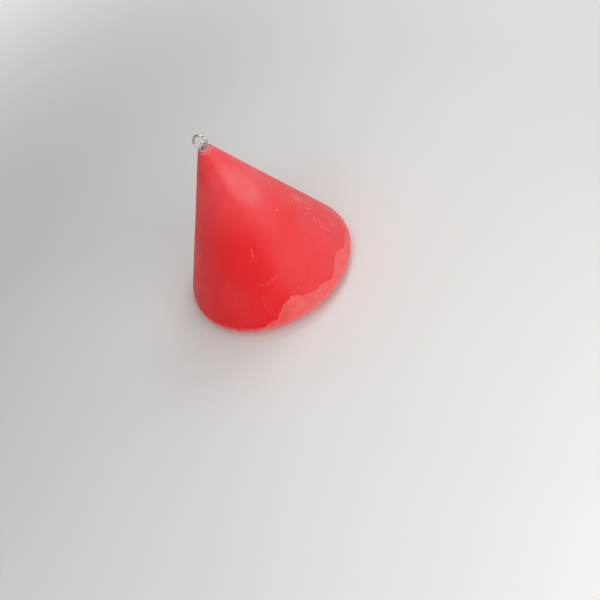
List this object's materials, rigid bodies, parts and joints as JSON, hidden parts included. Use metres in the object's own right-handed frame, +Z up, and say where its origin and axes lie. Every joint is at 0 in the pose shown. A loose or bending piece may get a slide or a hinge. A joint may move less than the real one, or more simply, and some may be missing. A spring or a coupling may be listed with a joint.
{
  "type": "conical marker buoy",
  "caption": "Cone-topped moulded buoy on a steel through rod, with a swinging ring in an eye at the tip and a drilled eye nut below for its mooring.",
  "frame": {"origin": "on the through rod's axis at the waterline", "axes": "+Z up along the rod, +X along the hole of the eye nut, -Y towards the side that the picture is taken from"},
  "size_m": [0.6, 0.6, 0.8454],
  "materials": {
    "hull_plastic": "semi-gloss rotomoulded polyethylene, lightly scuffed",
    "plug_plastic": "moulded polyethylene",
    "stainless_steel": "polished stainless steel",
    "galvanised_steel": "hot-dip galvanised steel, dulled"
  },
  "bodies": {
    "buoy": {"hull": "hull_plastic", "fill_plug": "plug_plastic", "through_rod": "stainless_steel", "top_plate": "stainless_steel", "top_eye": "stainless_steel", "keel_plate": "galvanised_steel", "keel_nut": "galvanised_steel", "eye_nut": "galvanised_steel"},
    "ring": {"top_ring": "stainless_steel"}
  },
  "joints": [
    {"name": "ring_swing", "type": "hinge", "parent": "buoy", "child": "ring", "pos_m": [-0.00053, -0.00085, 0.6021], "axis": [0.848, -0.5299, 0], "range_deg": [-81, 99]}
  ]
}
